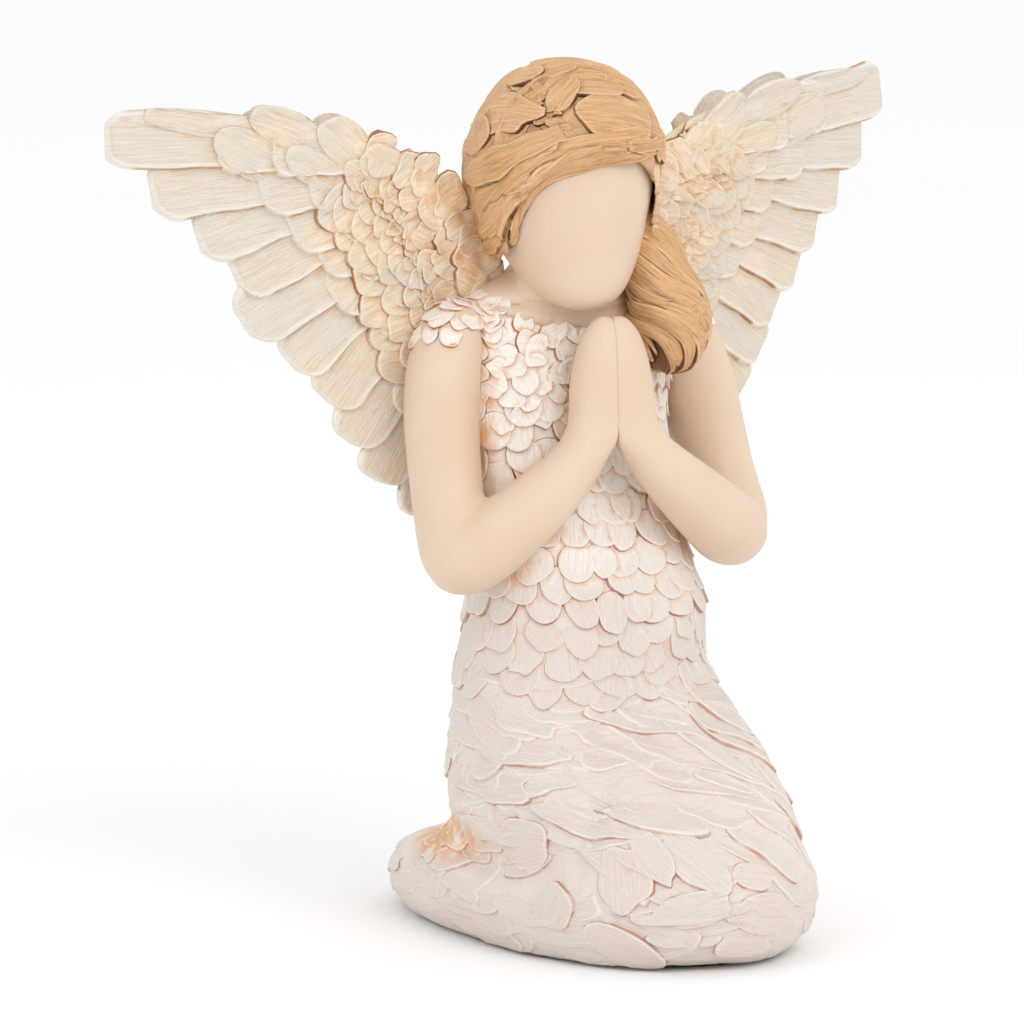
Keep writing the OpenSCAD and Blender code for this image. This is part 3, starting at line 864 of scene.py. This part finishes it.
def make_ponytail(form):
    rng = np.random.default_rng(31)
    clay = Clay()
    clay.add_form(form, wash=0.8, sink=0.25)
    steps = 20
    taper = clamp(np.minimum(np.arange(steps), np.arange(steps)[::-1]) / 2)[:, None]
    for layer in range(3):
        for k in range(LOCKS):
            start = (rng.uniform(0, 0.1), rng.uniform(0.2, 0.4), rng.uniform(0.4, 0.6))[layer]
            end = min(start + rng.uniform(0.45, 0.75), rng.uniform(0.9, 1.0))
            t = np.linspace(start, end, steps)
            rows = np.array([along(PONYTAIL, u) for u in t])
            centre = rows[:, :3]
            heading = unit(np.gradient(centre, axis=0))
            side = unit(np.cross(heading, [0, 1, 0]))
            front = np.cross(heading, side)
            turn = 2 * math.pi * (k + 0.33 * layer + rng.normal(0, 0.18)) / LOCKS
            turn = turn - SWIRL * t + 0.3 * np.sin(6 * t + k)
            out = side * np.cos(turn)[:, None] + front * np.sin(turn)[:, None]
            reach = rows[:, 3] * (0.95 + 0.05 * layer)
            path = centre + out * reach[:, None]
            ahead = unit(np.gradient(path, axis=0))
            half = rng.uniform(1.0, 2.8) * np.sin(math.pi * np.linspace(0.12, 0.99, steps)) ** 0.6
            tall = rng.uniform(0.4, 1.5) * bulge(0.2) * taper
            lay_strip(clay, path, np.cross(ahead, out), out, half, tall, rng)
    # A curl on the outer side
    middle, out = np.array([17.5, -3.5, 114.5]), unit([0.55, -0.8, 0.1])
    level, rise = level_and_rise(out)
    steps = 40
    turn = 2.4 + np.linspace(0, 3.4 * math.pi, steps)
    reach = np.linspace(5.2, 0.7, steps)[:, None]
    spot = middle + reach * (level * np.cos(turn)[:, None] - rise * np.sin(turn)[:, None] * 0.8)
    path, lean = form.nearest(spot + out * 1.0)
    ahead = unit(np.gradient(path, axis=0))
    half = np.linspace(1.5, 0.7, steps) * np.sin(math.pi * np.linspace(0.1, 0.96, steps)) ** 0.5
    tall = 1.5 * bulge(0.3) * np.sin(math.pi * np.linspace(0.04, 0.92, steps))[:, None] ** 0.4
    lay_strip(clay, path, np.cross(ahead, lean), lean, half, tall, rng)
    return clay.build(["ponytail_clay"], lambda co: np.full(len(co), 0.8))


# ---------------------------------------------------------------- wings

def wing_point(side, reach, z, out):
    """A point of a wing: reach along it, height, and how far out of its middle plane towards the front."""
    reach, z, out = np.broadcast_arrays(np.asarray(reach, float), z, out)
    bend = BEND_BACK * np.clip((reach - BEND_FROM) / BEND_SPAN, 0, 2) ** 2
    x = WING_X0 + reach * math.cos(WING_SWEEP) + out * math.sin(WING_SWEEP)
    y = WING_Y0 + reach * math.sin(WING_SWEEP) + bend - out * math.cos(WING_SWEEP)
    return np.stack([side * x, y, z], -1)


# Feathers: how blunt their tips are (2 is round), and how much further their lower edge stands out
BLUNT = 2.5
TILT = 0.55


def lay_feather(clay, side, quill, tip, half_w, thick, rng, bow):
    """One feather: a lens through the wing with both faces modelled, its lower edge proud of the next."""
    d = tip - quill
    length = np.linalg.norm(d)
    turn = 1 - min(0.5, 0.85 * half_w / length)
    end = turn + (1 - turn) * np.sin(np.linspace(0, math.pi / 2, 9)[1:])
    t = np.concatenate([np.linspace(0, turn, 13), end])
    n = np.array([-d[1], d[0]]) / length
    taper = 0.62 + 0.38 * clamp(t / 0.75)
    rounding = clamp(1 - clamp((t - turn) / (1 - turn)) ** BLUNT) ** (1 / BLUNT)
    half = half_w * taper * np.maximum(rounding, 0.03)
    wave = rng.uniform(0, 6)
    edges = 1 + 0.035 * np.sin(11 * t + wave)[:, None] * SPAN + 0.03 * np.sin(23 * t + 2 * wave)[:, None]
    mid = quill + d * t[:, None] + n * (bow * np.sin(math.pi * t))[:, None]
    s = SPAN * half[:, None] * edges
    plan = mid[:, None] + n * s[..., None]
    # The far corner of the tip reaches a little further than the near one
    further = 0.16 * half_w * (rounding * clamp((t - 0.6) / 0.4))[:, None] * SPAN
    plan = plan + (d / length) * further[..., None]
    fade = clamp(np.minimum(t / 0.04, (1 - t) / 0.012))[:, None]
    face = thick - TILT * SPAN + 0.07 * np.sin(SPAN * 9 + 3 * t[:, None] + wave)
    face = face + 0.3 * clamp((t[:, None] - 0.8) / 0.17)
    lip = 0.14 * np.exp(-(((SPAN + 0.9) / 0.07) ** 2))
    lens = (face + lip) * SPAN_HEIGHT * fade
    upper = wing_point(side, plan[..., 0], plan[..., 1], lens)
    lower = wing_point(side, plan[..., 0], plan[..., 1], -lens)
    wash = np.broadcast_to(SPAN_WASH, face.shape).copy()
    wash[-3:] = 0.45
    wash[t > turn] = np.minimum(wash[t > turn], 0.5)
    rim = np.zeros(face.shape, bool)
    rim[2:-1, 2] = True
    rim[-3] = True
    add_lens(clay, upper, lower, wash, length * t, s, face, rim, rng, side > 0)


# Distance from a wing's plane that is clear of the whole wing
CLEAR = 14.0


def lay_scale(clay, form, side, face, at, away, length, width, rng, segs=20, stain=0.9, **shape):
    """A pat of clay draped on one face of a wing, seen square on to the wing's plane."""
    flat, height = shape_pat(length, width, segs, 1.0, rng, **{**SCALE, **shape})
    ahead = unit(away)
    across = np.array([-ahead[1], ahead[0]])
    spots = at + flat[:, :1] * across + flat[:, 1:] * ahead
    start = wing_point(side, spots[:, 0], spots[:, 1], face * CLEAR)
    aim = unit(wing_point(side, spots[:, 0], spots[:, 1], -face * CLEAR) - start)
    found = [form.tree.ray_cast(Vector(a), Vector(b), 2 * CLEAR) for a, b in zip(start, aim)]
    level = np.array([CLEAR - f[3] if f[0] is not None else np.nan for f in found])
    if np.isnan(level[0]) or level[0] < 0.3:
        return
    middle = np.nanmedian(level)
    level = np.where(np.isnan(level), middle, level)
    level = np.clip(level, middle - 0.8, middle + 0.8) * 0.6 + middle * 0.4
    co = wing_point(side, spots[:, 0], spots[:, 1], face * (level + height))
    faces = facing(round_faces(segs), side * face > 0)
    add_pat(clay, co, faces, flat, height, segs, stain, rng, base=level, proud=0.1)


def lifted(reach, lift):
    """How far the leading edge is raised at a reach, from nothing near the body to the whole lift."""
    return lift * clamp((reach - 20) / 50)


def wing_roll(side, lift):
    """The rolled leading edge as a tapered tube."""
    rows = smooth_rows(ROLL, 4)
    rows[:, 1] += lifted(rows[:, 0], lift)
    segs = 20
    turn = 2 * math.pi * np.arange(segs) / segs
    heading = unit(np.gradient(rows[:, :2], axis=0))
    rings = []
    for row, head in zip(rows, heading):
        across = np.array([-head[1], head[0]])
        plan = row[:2] + np.cos(turn)[:, None] * row[2] * across
        rings.append(wing_point(side, plan[:, 0], plan[:, 1], np.sin(turn) * row[2] * 1.05))
    co = np.concatenate(rings)
    faces = []
    for i in range(len(rings) - 1):
        for j in range(segs):
            k = (j + 1) % segs
            faces.append((i * segs + j, i * segs + k, (i + 1) * segs + k, (i + 1) * segs + j))
    faces.append(tuple(range(segs))[::-1])
    faces.append(tuple((len(rings) - 1) * segs + j for j in range(segs)))
    return co, triangles(facing(faces, side > 0))


def make_wing(name, side, flight, lift):
    rng = np.random.default_rng(41 if side < 0 else 43)
    clay = Clay()
    roll_co, roll_tris = wing_roll(side, lift)
    for t, (share, count, thick) in enumerate(TIERS):
        for i in reversed(range(count)):
            u = i / (count - 1)
            quill = along(SPRING, 1 - u)
            whole = along(flight, u)
            reach = share * (1 if t == 0 else rng.uniform(0.93, 1.07))
            tip = quill + (whole[:2] - quill) * reach + (0 if t == 0 else rng.normal(0, 0.6, 2))
            lay_feather(clay, side, quill, tip, whole[2] * (1 if t == 0 else rng.uniform(0.86, 1.02)),
                        thick, rng, bow=rng.normal(1.2, 0.4))
    clay.add(roll_co, roll_tris, 0.1, 0.5, roll_co, 1.0)
    under = Form(np.concatenate(clay.co), triangles(clay.faces))
    spine = smooth_rows(SPRING + ARM_END, 24)
    steps = np.linalg.norm(np.diff(spine, axis=0), axis=1)
    run = np.concatenate([[0], np.cumsum(steps)])

    def walk(pitch):
        """Uneven steps along the spine: share of its length, place and heading."""
        at = pitch * rng.uniform(0.2, 0.8)
        while at < run[-1]:
            i = int(np.searchsorted(run, at)) - 1
            yield at / run[-1], spine[i], unit(spine[i + 1] - spine[i])
            at += pitch * rng.uniform(0.85, 1.15)

    def row(pitch, off, last, thinning, jitter):
        """Places of one row, off below the spine, with the way out from the spine and along it."""
        for share, place, head in walk(pitch):
            if share > last:
                continue
            n = np.array([-head[1], head[0]])
            fade = np.clip(1.2 - share * thinning, 0.5, 1)
            yield place - n * off * fade + rng.normal(0, jitter, 2), n, head

    for face in (1, -1):
        # Broken clay from the leading edge down to the ridge
        for off, size in BROKEN:
            for at, n, head in row(size * 1.5, off, 0.55, 1.0, 0.6):
                lay_scale(clay, under, side, face, at, -n + head * 0.3 + rng.normal(0, 0.35, 2),
                          size * rng.uniform(0.9, 1.4), size * rng.uniform(0.8, 1.2), rng,
                          tip=rng.uniform(0.3, 0.9), ragged=0.2, stain=0.85)
        # Neat scales outside the ridge, largest first
        for off, length, width in SCALES:
            for at, n, _ in row(width * 1.7, off, 0.62, 0.9, 0.35):
                lay_scale(clay, under, side, face, at, -n * 0.7 + OUTWARDS + rng.normal(0, 0.12, 2),
                          length * rng.uniform(0.9, 1.15), width * rng.uniform(0.9, 1.12), rng, segs=24)
        # The raised, ragged ridge
        for off, size, tall in RIDGE:
            for at, n, _ in row(size * 1.3, off, 0.6, 1.0, 0.4):
                lay_scale(clay, under, side, face, at, -n * 0.6 + OUTWARDS + rng.normal(0, 0.4, 2),
                          size * rng.uniform(0.8, 1.3), size * rng.uniform(0.6, 1.0), rng,
                          tip=tall * rng.uniform(0.6, 1.2), ragged=0.18)
        for reach, z, length, width, turn in COVERTS:
            a = math.radians(turn + rng.normal(0, 3))
            at = np.array([reach, z + lifted(reach, lift)])
            lay_scale(clay, under, side, face, at, np.array([math.cos(a), math.sin(a)]), length, width, rng,
                      tip=0.7, root=-0.3, ragged=0.06, point=0.05, segs=28, stain=0.6)

    def warm(co):
        root = clamp(1.05 - (np.abs(co[:, 0]) - 14) / 60)
        high = 0.6 + 0.4 * clamp((co[:, 2] - 90) / 30)
        return clamp(root * high + 0.22 * wobble(co, 12, 6))

    def ochre(co):
        arm = clamp(1 - (np.abs(co[:, 0]) - 13) / 16) * clamp((co[:, 2] - 104) / 12)
        return arm * (1.0 + 0.7 * wobble(co, 5, 7))

    return clay.build([name], warm, dirt_reach=1.4, stained=ochre)


# ---------------------------------------------------------------- materials

class Nodes:
    """Short names for building a node material."""

    def __init__(self, name):
        self.mat = bpy.data.materials.new(name)
        self.mat.use_nodes = True
        self.tree = self.mat.node_tree
        self.shader = next(n for n in self.tree.nodes if n.type == "BSDF_PRINCIPLED")
        self.where = self.new("ShaderNodeTexCoord").outputs["Object"]

    def new(self, kind, **values):
        node = self.tree.nodes.new(kind)
        for key, value in values.items():
            setattr(node, key, value)
        return node

    def link(self, a, b):
        self.tree.links.new(a, b)

    def put(self, socket, value):
        if isinstance(value, bpy.types.NodeSocket):
            self.link(value, socket)
        else:
            socket.default_value = value

    def fill(self, node, **values):
        for name, value in values.items():
            self.put(node.inputs[name.capitalize()], value)

    def attribute(self, name):
        return self.new("ShaderNodeAttribute", attribute_name=name)

    def noise(self, vector, scale, detail=3.0, rough=0.55, distortion=0.0):
        node = self.new("ShaderNodeTexNoise")
        self.fill(node, vector=vector, scale=scale, detail=detail, roughness=rough, distortion=distortion)
        return node.outputs["Fac"]

    def stretch(self, vector, scale):
        node = self.new("ShaderNodeMapping")
        self.fill(node, vector=vector, scale=scale)
        return node.outputs["Vector"]

    def ramp(self, factor, stops):
        node = self.new("ShaderNodeValToRGB")
        self.link(factor, node.inputs["Fac"])
        ramp = node.color_ramp
        while len(ramp.elements) < len(stops):
            ramp.elements.new(0.5)
        for element, (at, value) in zip(ramp.elements, stops):
            element.position = at
            element.color = (value, value, value, 1)
        return node.outputs["Color"]

    def maths(self, how, a, b):
        node = self.new("ShaderNodeMath", operation=how)
        self.put(node.inputs[0], a)
        self.put(node.inputs[1], b)
        return node.outputs[0]

    def times(self, a, b):
        return self.maths("MULTIPLY", a, b)

    def mix(self, factor, a, b):
        node = self.new("ShaderNodeMix", data_type="RGBA")
        self.put(node.inputs["Factor"], factor)
        self.put(node.inputs["A"], a if isinstance(a, bpy.types.NodeSocket) else (*a, 1))
        self.put(node.inputs["B"], b if isinstance(b, bpy.types.NodeSocket) else (*b, 1))
        return node.outputs["Result"]

    def bump(self, height, strength, distance, before=None):
        node = self.new("ShaderNodeBump")
        self.fill(node, height=height, strength=strength, distance=distance)
        if before is not None:
            self.fill(node, normal=before)
        return node.outputs["Normal"]

    def surface(self, colour, rough, normal=None):
        """Join a colour, a roughness and a normal to the shader and give back the material."""
        self.put(self.shader.inputs["Base Color"], colour)
        self.put(self.shader.inputs["Roughness"], rough)
        if normal is not None:
            self.put(self.shader.inputs["Normal"], normal)
        return self.mat


def srgb(r, g, b):
    """Linear colour of 8-bit sRGB values."""
    return tuple((c / 255 / 12.92) if c <= 10 else ((c / 255 + 0.055) / 1.055) ** 2.4 for c in (r, g, b))


# Paint of each kind of clay. Faces vary between face and second, and turn to warm_face where the piece is
# ochre. rim is the pale lip, stain lies close to a higher edge and line under the edge, each in its rose and
# its ochre form, and streak follows the knife. streaks and stains say how strong those are.
DRESS_CLAY = dict(
    face=(224, 215, 206), second=(225, 207, 197), warm_face=(251, 246, 239), rim=(248, 244, 238),
    stain=[(226, 188, 172), (229, 173, 120)], line=[(198, 146, 128), (184, 118, 68)],
    streak=(236, 208, 188), streaks=0.34, stains=0.95, rough=0.55, relief=0.6)
HAIR_CLAY = dict(
    face=(232, 187, 138), second=(212, 163, 112), warm_face=(224, 172, 118), rim=(246, 214, 174),
    stain=[(156, 102, 56), (146, 92, 48)], line=[(104, 64, 34), (98, 58, 30)],
    streak=(156, 104, 58), streaks=0.65, stains=1.0, rough=0.5, relief=0.8)
WING_CLAY = dict(
    face=(222, 214, 203), second=(228, 210, 186), warm_face=(250, 226, 193), rim=(248, 242, 232),
    stain=[(222, 180, 128), (212, 158, 102)], line=[(194, 142, 88), (166, 108, 60)],
    streak=(218, 178, 128), streaks=0.75, stains=0.95, rough=0.55, relief=0.6)


def clay_material(name, face, second, warm_face, rim, stain, line, streak, streaks, stains, rough, relief):
    m = Nodes(name)
    paint, grain = m.attribute("paint"), m.attribute("grain")
    split = m.new("ShaderNodeSeparateColor")
    m.link(paint.outputs["Color"], split.inputs["Color"])
    wash, dirt, tone = split.outputs
    warm = paint.outputs["Alpha"]
    fine = m.noise(m.where, 900, 3)
    patchy = m.noise(m.where, 260, 3)
    strokes = m.noise(m.stretch(grain.outputs["Vector"], (0.16, 2.6, 1.0)), 1.0, 3, 0.6, 0.6)

    colour = m.mix(m.times(tone, m.noise(m.where, 60, 2)), srgb(*face), srgb(*second))
    ochre = m.times(m.ramp(warm, [(0.45, 0.0), (1.0, 1.0)]), 0.8)
    colour = m.mix(ochre, colour, srgb(*warm_face))
    marks = m.ramp(strokes, [(0.46, 0.0), (0.68, 1.0)])
    marks = m.times(marks, m.maths("ADD", m.times(warm, 0.7), 0.3))
    colour = m.mix(m.times(marks, streaks), colour, srgb(*streak))
    soft = m.times(dirt, m.ramp(patchy, [(0.3, 0.25), (0.62, 1.0)]))
    soft = m.ramp(soft, [(0.08, 0.0), (0.8, 1.0)])
    colour = m.mix(m.times(soft, stains), colour, m.mix(warm, *(srgb(*c) for c in stain)))
    pale = m.ramp(wash, [(0.15, 0.0), (0.42, 1.0), (0.52, 1.0), (0.66, 0.0)])
    colour = m.mix(m.times(pale, 0.55), colour, srgb(*rim))
    broken = m.ramp(m.noise(m.where, 170, 2), [(0.34, 0.15), (0.56, 1.0)])
    under = m.times(m.ramp(wash, [(0.55, 0.0), (0.85, 1.0)]), broken)
    colour = m.mix(under, colour, m.mix(warm, *(srgb(*c) for c in line)))

    normal = m.bump(strokes, relief, 0.0007)
    normal = m.bump(patchy, relief * 0.6, 0.0004, normal)
    normal = m.bump(fine, 0.18, 0.00012, normal)
    return m.surface(colour, m.ramp(patchy, [(0.3, rough - 0.06), (0.7, rough + 0.08)]), normal)


def skin_material():
    m = Nodes("painted_skin")
    paint = m.attribute("paint")
    cloudy = m.noise(m.where, 45, 2)
    fine = m.noise(m.where, 1400, 2)
    colour = m.mix(m.ramp(cloudy, [(0.35, 0.0), (0.7, 1.0)]), srgb(223, 200, 177), srgb(219, 193, 169))
    edge = m.times(m.ramp(paint.outputs["Alpha"], [(0.25, 0.0), (1.0, 1.0)]),
                   m.ramp(m.noise(m.where, 300, 3), [(0.35, 0.1), (0.6, 1.0)]))
    colour = m.mix(m.times(edge, 0.7), colour, srgb(206, 156, 116))
    normal = m.bump(fine, 0.06, 0.00008, m.bump(cloudy, 0.05, 0.001))
    return m.surface(colour, m.ramp(cloudy, [(0.3, 0.42), (0.7, 0.5)]), normal)


def felt_material():
    m = Nodes("wool_felt")
    fuzz = m.noise(m.where, 1800, 4, 0.7)
    clumps = m.noise(m.where, 350, 3, 0.6, 1.0)
    colour = m.mix(m.ramp(clumps, [(0.35, 0.0), (0.65, 1.0)]), srgb(38, 62, 44), srgb(56, 84, 58))
    normal = m.bump(fuzz, 0.6, 0.0004, m.bump(clumps, 0.4, 0.0006))
    return m.surface(colour, m.ramp(fuzz, [(0.2, 0.9), (0.8, 1.0)]), normal)


def steel_material():
    m = Nodes("ground_steel")
    lines = m.noise(m.stretch(m.where, (1, 14, 14)), 300, 3)
    m.shader.inputs["Metallic"].default_value = 1.0
    colour = m.mix(lines, srgb(150, 150, 152), srgb(196, 196, 198))
    return m.surface(colour, m.ramp(lines, [(0.3, 0.28), (0.7, 0.45)]), m.bump(lines, 0.2, 0.0001))


def floor_material():
    m = Nodes("pale_floor")
    return m.surface(m.mix(m.noise(m.where, 3, 2), (0.95, 0.95, 0.95), (0.97, 0.97, 0.97)), 0.9)


# ---------------------------------------------------------------- studio

def make_studio():
    scene = bpy.context.scene
    scene.view_settings.view_transform = "Standard"
    world = bpy.data.worlds.new("studio")
    world.use_nodes = True
    tree = world.node_tree
    back = next(n for n in tree.nodes if n.type == "BACKGROUND")
    back.inputs["Color"].default_value = (1, 1, 1, 1)
    back.inputs["Strength"].default_value = 1.0
    scene.world = world

    mesh = bpy.data.meshes.new("floor")
    corners = [(-1, -1), (1, -1), (1, 1), (-1, 1)]
    mesh.from_pydata([(FLOOR_HALF * x, FLOOR_HALF * y, 0) for x, y in corners], [], [(0, 1, 2, 3)])
    mesh.materials.append(floor_material())
    add_object("floor", mesh)

    def aim(thing, azimuth, elevation, distance):
        """Stand a lamp or the camera back from what it looks at, distance in metres."""
        way = way_to(azimuth, elevation)
        thing.location = Vector(CAM_TARGET) * MM + way * distance
        thing.rotation_euler = way.to_track_quat("Z", "Y").to_euler()

    def lamp(name, azimuth, elevation, distance, size, power):
        data = bpy.data.lights.new(name, "AREA")
        data.shape = "DISK"
        data.size = size
        data.energy = power
        aim(add_object(name, data), azimuth, elevation, distance)

    lamp("key", 2, 38, 1.3, 0.7, 3.0)
    lamp("fill", -70, 30, 1.5, 0.9, 1.0)

    data = bpy.data.cameras.new("camera")
    data.lens = CAM_LENS
    data.sensor_width = 36
    data.clip_end = 50
    scene.camera = add_object("camera", data)
    aim(scene.camera, CAM_AZIMUTH, CAM_ELEVATION, CAM_DISTANCE)


# ---------------------------------------------------------------- assembly

make_studio()

dress_form = press_dress(cad_form(["dress_body"], 1.1, 12))
arms_form = cad_form(["right_arm", "left_arm"], 1.2, 6)
body_form = cad_form(["dress_body", "head", "right_arm", "left_arm"], 1.0, 12)
head_form = cad_form(["head"], 0.8, 16)
right_arm_form = press_palms(cad_form(["right_arm"], 0.7, 16))
left_arm_form = press_palms(cad_form(["left_arm"], 0.7, 16))
hair_form = cad_form(["hair_crown"], 0.7, 8)
crown_form = cad_form(["head", "hair_crown"], 0.8, 8)
tail_form = cad_form(["side_ponytail"], 0.8, 8)

DRESS_PAINT = clay_material("painted_dress", **DRESS_CLAY)
HAIR_PAINT = clay_material("painted_hair", **HAIR_CLAY)
WING_PAINT = clay_material("painted_wings", **WING_CLAY)
SKIN_PAINT = skin_material()

PIECES = [
    (make_dress(dress_form, body_form, arms_form), "dress_body", "dress_resin", DRESS_PAINT),
    (skin_piece("head_skin", head_form, dress_form, dress_form), "head", "skin_resin", SKIN_PAINT),
    (skin_piece("right_arm_skin", right_arm_form, dress_form), "right_arm", "skin_resin", SKIN_PAINT),
    (skin_piece("left_arm_skin", left_arm_form, dress_form), "left_arm", "skin_resin", SKIN_PAINT),
    (make_hair(hair_form, crown_form), "hair_crown", "hair_resin", HAIR_PAINT),
    (make_ponytail(tail_form), "side_ponytail", "hair_resin", HAIR_PAINT),
    (make_wing("right_wing_feathers", -1, RIGHT_FLIGHT, 0.0), "right_wing", "wing_resin", WING_PAINT),
    (make_wing("left_wing_feathers", 1, LEFT_FLIGHT, LEFT_ROLL_LIFT), "left_wing", "wing_resin", WING_PAINT),
]
for pieces, node, slot, paint in PIECES:
    for piece in pieces:
        piece.data.materials.append(paint)
        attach(piece, "root")
        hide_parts(node)

FELT = felt_material()
STEEL = steel_material()
for node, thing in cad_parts.items():
    if node == "felt_pad":
        thing.material_slots[0].material = FELT
    elif node.endswith(("_dowel", "_pin")):
        thing.material_slots[0].material = STEEL
